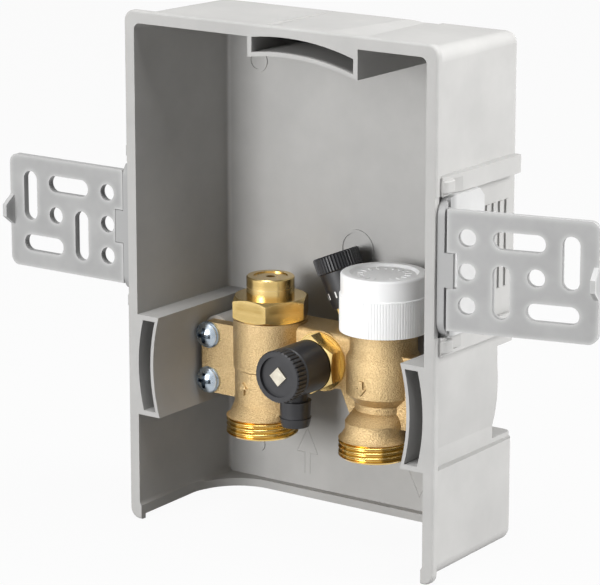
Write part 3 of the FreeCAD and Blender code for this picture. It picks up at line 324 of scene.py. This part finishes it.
# Painted highlight and painted shade that a finish can ask for: a highlight along edges, shade at the front
# of a plate, shade in recesses
paintedLightAndShade = {"edge": paintedEdgeHighlight, "front": paintedFrontShade, "recessShade": paintedRecessShade}
noiseSpan = (0.3, 0.7)  # nearly all of the noise lies between these
plainFinish = {"depth": 0.1 * mm, "metallic": 0.0, "ior": 1.5}


# One finish: two close colours, a range of roughness and a relief, from the skin or the lathe group
def makeFinish(name, values):
    finish = dict(plainFinish, **values)
    material, tree, shader = startMaterial(name)
    group = tree.nodes.new("ShaderNodeGroup")
    if "lines" in finish:
        group.node_tree = latheGroup
        group.inputs["Lines"].default_value = finish["lines"]
    else:
        group.node_tree = skinGroup
        group.inputs["Grain"].default_value = finish["grain"]
        group.inputs["Patch"].default_value = finish["patch"]
    vector = objectVector(tree, finish.get("centre"), finish.get("turn", (0, 0, 0)))
    tree.links.new(vector, group.inputs["Vector"])
    tone = group.outputs["Tone"]
    colour = mixColours(tree, remap(tree, tone, noiseSpan), opaque(finish["dark"]), opaque(finish["light"]))
    # painted highlight and painted shade, where the finish asks for them
    for key, paintedLightStep in paintedLightAndShade.items():
        if key in finish:
            colour = paintedLightStep(tree, colour, finish[key])
    tree.links.new(colour, shader.inputs["Base Color"])
    tree.links.new(remap(tree, tone, noiseSpan, finish["roughness"]), shader.inputs["Roughness"])
    bump = tree.nodes.new("ShaderNodeBump")
    bump.inputs["Strength"].default_value = finish["relief"]
    bump.inputs["Distance"].default_value = finish["depth"]
    tree.links.new(group.outputs["Height"], bump.inputs["Height"])
    tree.links.new(bump.outputs[0], shader.inputs["Normal"])
    shader.inputs["Metallic"].default_value = finish["metallic"]
    shader.inputs["IOR"].default_value = finish["ior"]
    return material


# Axes of the turned pieces
leftLeg = (-25.0 * mm, 30.9 * mm)
rightLeg = (25.0 * mm, 30.9 * mm)
ventAxis = {"at": (-0.5 * mm, 0.0, 64.3 * mm), "lean": 90.0}
presetAxis = {"at": (5.5 * mm, 43.5 * mm, 75.9 * mm), "lean": -23.0}

caseGrey = {"dark": (0.386, 0.382, 0.374), "light": (0.436, 0.432, 0.422), "grain": 2200.0, "patch": 45.0}
turnedBrass = {"dark": (0.60, 0.42, 0.15), "light": (0.76, 0.57, 0.25), "roughness": (0.18, 0.30),
               "lines": 2600.0, "relief": 0.12, "metallic": 1.0}
finishes = {
    "greyCase": dict(caseGrey, roughness=(0.66, 0.80), relief=0.10, ior=1.3),
    "smoothCorner": dict(caseGrey, roughness=(0.42, 0.50), relief=0.02),
    "greyEar": {"dark": (0.285, 0.285, 0.284), "light": (0.335, 0.335, 0.333), "roughness": (0.36, 0.50),
                "grain": 1800.0, "patch": 70.0, "relief": 0.08,
                # the edge entry paints a highlight: a paler band along the ear's edges and round its holes
                "edge": {"colour": (0.43, 0.43, 0.427), "reach": 3.6 * mm, "bend": 0.22, "samples": 8}},
    "palePlate": {"dark": (0.46, 0.46, 0.458), "light": (0.51, 0.51, 0.507), "roughness": (0.36, 0.50),
                  "grain": 1800.0, "patch": 70.0, "relief": 0.08,
                  # the front entry paints shade on the strip at the front of the plate
                  "front": {"colour": (0.31, 0.31, 0.309), "front": 6.5 * mm, "back": 9.0 * mm}},
    "blastedBrass": {"dark": (0.39, 0.274, 0.126), "light": (0.60, 0.45, 0.254), "roughness": (0.38, 0.50),
                     "grain": 2300.0, "patch": 1900.0, "relief": 1.0, "depth": 0.4 * mm, "metallic": 1.0},
    "threadBrass": {"dark": (0.60, 0.41, 0.13), "light": (0.76, 0.56, 0.22), "roughness": (0.15, 0.20),
                    "grain": 2600.0, "patch": 60.0, "relief": 0.01, "metallic": 1.0},
    "bonnetBrass": dict(turnedBrass, centre=(*leftLeg, 0)),
    "insertBrass": dict(turnedBrass, centre=(*rightLeg, 0)),
    "ventBrass": dict(turnedBrass, centre=ventAxis["at"], turn=(math.radians(ventAxis["lean"]), 0, 0)),
    "presetBrass": dict(turnedBrass, centre=presetAxis["at"], turn=(0, math.radians(presetAxis["lean"]), 0)),
    "zincSteel": {"dark": (0.32, 0.38, 0.44), "light": (0.54, 0.60, 0.66), "roughness": (0.20, 0.36),
                  "grain": 900.0, "patch": 260.0, "relief": 0.08, "metallic": 1.0,
                  # painted shade in the cross recesses of the screw heads and washers: the entry below
                  # darkens them
                  "recessShade": {"colour": (0.04, 0.06, 0.085), "reach": 1.5 * mm, "open": 0.85, "closed": 0.45,
                             "samples": 8}},
    "drawnSteel": {"dark": (0.45, 0.45, 0.46), "light": (0.60, 0.60, 0.62), "roughness": (0.22, 0.34),
                   "lines": 3000.0, "relief": 0.08, "metallic": 1.0, "centre": (*rightLeg, 0)},
    "blackPlastic": {"dark": (0.013, 0.013, 0.015), "light": (0.022, 0.022, 0.025), "roughness": (0.36, 0.48),
                     "grain": 2400.0, "patch": 120.0, "relief": 0.10},
    "whitePlastic": {"dark": (0.87, 0.872, 0.875), "light": (0.91, 0.912, 0.915), "roughness": (0.30, 0.40),
                     "grain": 2600.0, "patch": 60.0, "relief": 0.05},
    "paleNickel": {"dark": (0.56, 0.52, 0.43), "light": (0.66, 0.62, 0.52), "roughness": (0.28, 0.40),
                   "grain": 1600.0, "patch": 500.0, "relief": 0.10, "metallic": 1.0},
    "markWhite": {"dark": (0.72, 0.72, 0.71), "light": (0.82, 0.82, 0.81), "roughness": (0.45, 0.55),
                  "grain": 2600.0, "patch": 400.0, "relief": 0.05},
    "blackRubber": {"dark": (0.012, 0.012, 0.012), "light": (0.02, 0.02, 0.02), "roughness": (0.5, 0.65),
                    "grain": 1800.0, "patch": 90.0, "relief": 0.10},
}
finishOfNode = {
    "wall_box": "greyCase",
    "left_slider": "palePlate", "right_slider": "palePlate", "left_ear": "greyEar", "right_ear": "greyEar",
    "valve_block": "blastedBrass",
    "flange_screws": "zincSteel", "flange_washers": "zincSteel",
    "lockshield_bonnet": "bonnetBrass", "regulating_spindle": "bonnetBrass",
    "valve_insert": "insertBrass", "valve_pin": "drawnSteel", "valve_disc": "blackRubber",
    "return_spring": "drawnSteel", "protective_cap": "whitePlastic",
    "vent_nipple": "ventBrass", "vent_seal": "blackRubber", "vent_sleeve": "blackPlastic",
    "vent_knob": "blackPlastic", "vent_spindle": "paleNickel",
    "preset_bonnet": "presetBrass", "preset_spindle": "presetBrass", "preset_knob": "blackPlastic",
}
materials = {name: makeFinish(name, finish) for name, finish in finishes.items()}
for node, finish in finishOfNode.items():
    slots = nodes[node].data.materials
    slots.clear()
    slots.append(materials[finish])
print("finishes ready:", len(materials))


# A finished piece: a plain mesh at the origin that moves with its body
def addPiece(name, mesh, body, slot, *finishNames):
    for finish in finishNames:
        mesh.materials.append(materials[finish])
    piece = addToScene(name, mesh)
    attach(piece, body)
    return piece


smoothLimit = math.radians(32.0)  # edges that bend more than this stay sharp


def meshFrom(shape, name):
    bmesh.ops.recalc_face_normals(shape, faces=shape.faces)
    for face in shape.faces:
        face.smooth = True
    for edge in shape.edges:
        edge.smooth = len(edge.link_faces) == 2 and edge.calc_face_angle(0) < smoothLimit
    mesh = bpy.data.meshes.new(name)
    shape.to_mesh(mesh)
    shape.free()
    return mesh


# Walls between rings of corners, and a solid with both ends closed
def addWalls(shape, rings):
    for below, above in zip(rings, rings[1:]):
        for step in range(len(below)):
            after = (step + 1) % len(below)
            shape.faces.new((below[step], below[after], above[after], above[step]))


def addSolid(shape, rings):
    addWalls(shape, rings)
    return shape.faces.new(rings[0]), shape.faces.new(rings[-1])


# Threaded ports: the valve block again, with its two plain port ends cut as pipe thread
threadPiece = {
    "axisX": 25.0 * mm, "axisY": 25.7 * mm, "low": 34.8 * mm, "high": 40.8 * mm, "crest": 13.22 * mm,
    "cut": 1.05 * mm, "pitch": 1.814 * mm, "runout": 0.15 * mm, "around": 144, "rows": 110,
    "near": 0.02 * mm, "merge": 0.001 * mm,
}


def threadRing(shape, piece, axisX, height):
    ring = []
    for step in range(piece["around"]):
        angle = 2 * math.pi * step / piece["around"]
        phase = (height - piece["low"]) / piece["pitch"] - step / piece["around"]
        radius = piece["crest"] - piece["cut"] * (0.5 - 0.5 * math.cos(2 * math.pi * phase))
        x, y = axisX + radius * math.cos(angle), piece["axisY"] + radius * math.sin(angle)
        ring.append(shape.verts.new((x, y, height)))
    return ring


def cutThread(shape, piece, axisX):
    lowest, highest = piece["low"] - piece["near"], piece["high"] + piece["near"]

    def onBand(vert):
        away = math.hypot(vert.co.x - axisX, vert.co.y - piece["axisY"]) - piece["crest"]
        return abs(away) < piece["near"] and lowest < vert.co.z < highest

    band = [face for face in shape.faces if all(onBand(vert) for vert in face.verts)]
    bmesh.ops.delete(shape, geom=band, context="FACES")
    openEdges = [edge for edge in shape.edges if edge.is_boundary]
    middle = (piece["low"] + piece["high"]) / 2
    low, high = piece["low"] + piece["runout"], piece["high"] - piece["runout"]
    heights = [low + (high - low) * row / piece["rows"] for row in range(piece["rows"] + 1)]
    rings = [threadRing(shape, piece, axisX, height) for height in heights]
    addWalls(shape, rings)
    for ring, lower in ((rings[0], True), (rings[-1], False)):
        rim = [edge for edge in openEdges if (edge.verts[0].co.z < middle) == lower]
        ends = [shape.edges.get((ring[step - 1], ring[step])) for step in range(piece["around"])]
        bmesh.ops.bridge_loops(shape, edges=rim + ends)


def makeThreadedBlock(piece):
    shape = bmesh.new()
    shape.from_mesh(nodes["valve_block"].data)
    bmesh.ops.remove_doubles(shape, verts=shape.verts, dist=piece["merge"])
    for side in (-1, 1):
        cutThread(shape, piece, piece["axisX"] * side)
    for face in shape.faces:
        turned = face.calc_center_median().z < piece["high"] - piece["near"]
        face.material_index = 1 if turned else 0
    mesh = meshFrom(shape, "threadedBlock")
    block = addPiece("threadedBlock", mesh, "box", "cast_brass", "blastedBrass", "threadBrass")
    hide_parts("valve_block")


makeThreadedBlock(threadPiece)
print("threaded block ready")


# Flow arrows cast on the legs: up on the left one, down on the right one
flowArrows = {
    "form": [(0.0, 0.5), (0.5, 0.02), (0.2, 0.02), (0.2, -0.5), (-0.2, -0.5), (-0.2, 0.02), (-0.5, 0.02)],
    "rise": 0.85 * mm, "sink": 0.4 * mm, "edge": 0.16 * mm, "edgeSteps": 2, "edgeProfile": 0.5,
    "arrows": {
        "leftFlowArrow": {"axis": leftLeg, "radius": 13.2 * mm, "bearing": -12.3, "height": 51.7 * mm,
                          "width": 3.8 * mm, "length": 4.8 * mm},
        "rightFlowArrow": {"axis": rightLeg, "radius": 13.4 * mm, "bearing": -1.5, "height": 60.5 * mm,
                           "width": 3.8 * mm, "length": -5.4 * mm},
    },
}


def arrowLayer(shape, form, arrow, offset):
    radius = arrow["radius"] + offset
    layer = []
    for across, up in form:
        angle = math.radians(arrow["bearing"]) + across * arrow["width"] / arrow["radius"]
        x, y = arrow["axis"][0] + radius * math.sin(angle), arrow["axis"][1] - radius * math.cos(angle)
        layer.append(shape.verts.new((x, y, arrow["height"] + up * arrow["length"])))
    return layer


def makeFlowArrow(name, piece):
    shape = bmesh.new()
    arrow = piece["arrows"][name]
    layers = [arrowLayer(shape, piece["form"], arrow, offset) for offset in (-piece["sink"], piece["rise"])]
    top = addSolid(shape, layers)[1]
    bmesh.ops.bevel(shape, geom=list(top.edges), offset=piece["edge"], segments=piece["edgeSteps"],
                    affect="EDGES", profile=piece["edgeProfile"])
    bmesh.ops.triangulate(shape, faces=shape.faces)
    addPiece(name, meshFrom(shape, name), "box", "cast_brass", "blastedBrass")


for name in flowArrows["arrows"]:
    makeFlowArrow(name, flowArrows)
print("flow arrows ready")


# Outline arrows moulded on the back wall, as fine ridges
wallLines = {
    "wall": 54.5 * mm, "width": 0.45 * mm, "rise": 0.16 * mm, "sink": 0.05 * mm,
    "form": [(1.2, -8.1), (1.2, 0.0), (4.75, 0.0), (0.0, 9.8), (-4.75, 0.0), (-1.2, 0.0), (-1.2, -8.1)],
    "arrows": {"leftWallArrow": (-25.25, 18.8, 1), "rightWallArrow": (25.25, 20.4, -1)},
}


def addRidge(shape, start, end, piece):
    along = (end - start).normalized()
    across = Vector((-along.z, 0, along.x)) * piece["width"] / 2
    sink, rise = Vector((0, piece["sink"], 0)), Vector((0, -piece["rise"], 0))
    section = (across + sink, rise, -across + sink)
    addSolid(shape, [[shape.verts.new(at + offset) for offset in section] for at in (start, end)])


def makeWallArrow(name, piece):
    centreX, centreZ, way = piece["arrows"][name]
    points = [Vector((centreX * mm + x * mm, piece["wall"], (centreZ + z * way) * mm))
              for x, z in piece["form"]]
    shape = bmesh.new()
    for start, end in zip(points, points[1:]):
        addRidge(shape, start, end, piece)
    addPiece(name, meshFrom(shape, name), "box", "box_plastic", "greyCase")


for name in wallLines["arrows"]:
    makeWallArrow(name, wallLines)
print("wall arrows ready")


# Rounded stops at the front of the slide rails
railStops = {
    "inner": 66.8 * mm, "outer": 69.5 * mm, "front": 2.4 * mm, "back": 8.5 * mm, "tall": 4.3 * mm,
    "corner": 1.5 * mm, "cornerSteps": 6, "edge": 0.35 * mm,
    "heights": {-1: (82.1 * mm, 137.9 * mm), 1: (85.6 * mm, 141.4 * mm)},
}


def stopOutline(piece):
    half = ((piece["outer"] - piece["inner"]) / 2, (piece["back"] - piece["front"]) / 2)
    outline = [(-half[0], half[1]), (-half[0], -half[1])]
    for side, first in ((-1, -90), (1, 0)):
        centre = (half[0] - piece["corner"], side * (half[1] - piece["corner"]))
        for step in range(piece["cornerSteps"] + 1):
            angle = math.radians(first + 90 * step / piece["cornerSteps"])
            outline.append((centre[0] + piece["corner"] * math.cos(angle),
                            centre[1] + piece["corner"] * math.sin(angle)))
    return outline, half


def addStop(shape, piece, side, height):
    outline, half = stopOutline(piece)
    middle = ((piece["inner"] + piece["outer"]) / 2, (piece["front"] + piece["back"]) / 2)
    tall, edge = piece["tall"] / 2, piece["edge"]
    rings = []
    for level, inset in ((-tall, edge), (edge - tall, 0.0), (tall - edge, 0.0), (tall, edge)):
        slimX, slimY = [1 - inset / size for size in half]
        rings.append([shape.verts.new((side * (middle[0] + x * slimX), middle[1] + y * slimY, height + level))
                      for x, y in outline])
    addSolid(shape, rings)


def makeRailStops(piece):
    shape = bmesh.new()
    for side, heights in piece["heights"].items():
        for height in heights:
            addStop(shape, piece, side, height)
    addPiece("railStops", meshFrom(shape, "railStops"), "box", "box_plastic", "greyCase")


makeRailStops(railStops)
print("rail stops ready")


# Rounds in the upright corners between the back wall and the side walls, above and below the clip tunnels
cornerRounds = {
    "cornerX": 61.55 * mm, "cornerY": 54.5 * mm, "radius": 1.3 * mm, "sink": 0.05 * mm, "steps": 10,
    "spans": ((7.0 * mm, 40.5 * mm), (78.3 * mm, 183.0 * mm)),
}


def roundSection(piece):
    radius, sink = piece["radius"], piece["sink"]
    section = [(-radius - sink, sink), (sink, sink), (sink, -radius - sink)]
    for step in range(piece["steps"] + 1):
        angle = math.pi / 2 * step / piece["steps"]
        section.append((radius * math.cos(angle) - radius, radius * math.sin(angle) - radius))
    return section


def makeCornerRounds(piece):
    shape = bmesh.new()
    section = roundSection(piece)
    endFaces = []
    for side in (-1, 1):
        for span in piece["spans"]:
            ends = [[shape.verts.new((side * (piece["cornerX"] + x), piece["cornerY"] + y, height))
                     for x, y in section] for height in span]
            endFaces.extend(addSolid(shape, ends))
    bmesh.ops.triangulate(shape, faces=endFaces)
    addPiece("cornerRounds", meshFrom(shape, "cornerRounds"), "box", "box_plastic", "smoothCorner")


makeCornerRounds(cornerRounds)
print("corner rounds ready")


# Bars that repeat round an axis, by Geometry Nodes
def makeBarRing():
    tree = bpy.data.node_groups.new("barRing", "GeometryNodeTree")
    for label, kind in (("Count", "NodeSocketInt"), ("Radius", "NodeSocketFloat"),
                        ("Bar", "NodeSocketVector"), ("Finish", "NodeSocketMaterial")):
        tree.interface.new_socket(label, in_out="INPUT", socket_type=kind)
    tree.interface.new_socket("Geometry", in_out="OUTPUT", socket_type="NodeSocketGeometry")
    start, end = tree.nodes.new("NodeGroupInput"), tree.nodes.new("NodeGroupOutput")
    circle = tree.nodes.new("GeometryNodeMeshCircle")
    bar = tree.nodes.new("GeometryNodeMeshCube")
    place = tree.nodes.new("GeometryNodeInputPosition")
    turn = tree.nodes.new("FunctionNodeAlignRotationToVector")
    turn.axis = "X"
    turn.pivot_axis = "Z"
    scatter = tree.nodes.new("GeometryNodeInstanceOnPoints")
    real = tree.nodes.new("GeometryNodeRealizeInstances")
    paint = tree.nodes.new("GeometryNodeSetMaterial")
    links = tree.links
    links.new(start.outputs["Count"], circle.inputs["Vertices"])
    links.new(start.outputs["Radius"], circle.inputs["Radius"])
    links.new(start.outputs["Bar"], bar.inputs["Size"])
    links.new(place.outputs[0], turn.inputs["Vector"])
    links.new(circle.outputs[0], scatter.inputs["Points"])
    links.new(bar.outputs["Mesh"], scatter.inputs["Instance"])
    links.new(turn.outputs[0], scatter.inputs["Rotation"])
    links.new(scatter.outputs[0], real.inputs[0])
    links.new(real.outputs[0], paint.inputs["Geometry"])
    links.new(start.outputs["Finish"], paint.inputs["Material"])
    links.new(paint.outputs[0], end.inputs["Geometry"])
    return tree


barRing = makeBarRing()
barPieces = {
    "presetScale": {"count": 12, "radius": 7.52 * mm, "bar": (0.24 * mm, 0.55 * mm, 2.3 * mm),
                    "finish": "markWhite", "slot": "white_plastic", "body": "preset_tap",
                    "at": presetAxis["at"], "lean": presetAxis["lean"], "along": 12.6 * mm},
    "capGripMarks": {"count": 18, "radius": 8.6 * mm, "bar": (2.2 * mm, 0.7 * mm, 0.5 * mm),
                     "finish": "whitePlastic", "slot": "white_plastic", "body": "cap",
                     "at": (*rightLeg, 0.0), "lean": 0.0, "along": 99.7 * mm},
}


def makeBars(name, piece):
    holder = addToScene(name + "Holder", bpy.data.meshes.new(name + "Holder"))
    modifier = holder.modifiers.new("bars", "NODES")
    modifier.node_group = barRing
    values = {"Count": piece["count"], "Radius": piece["radius"], "Bar": piece["bar"],
              "Finish": materials[piece["finish"]]}
    for socket in barRing.interface.items_tree:
        if socket.in_out == "INPUT":
            modifier[socket.identifier] = values[socket.name]
    holder.update_tag()
    evaluated = holder.evaluated_get(bpy.context.evaluated_depsgraph_get())
    mesh = bpy.data.meshes.new_from_object(evaluated)
    mesh.name = name
    holder.modifiers.clear()
    bpy.data.objects.remove(holder)
    turn = Matrix.Rotation(math.radians(piece["lean"]), 4, "Y")
    mesh.transform(Matrix.Translation(piece["at"]) @ turn @ Matrix.Translation((0, 0, piece["along"])))
    addPiece(name, mesh, piece["body"], piece["slot"])


for name, piece in barPieces.items():
    makeBars(name, piece)
print("scale and grip marks ready")
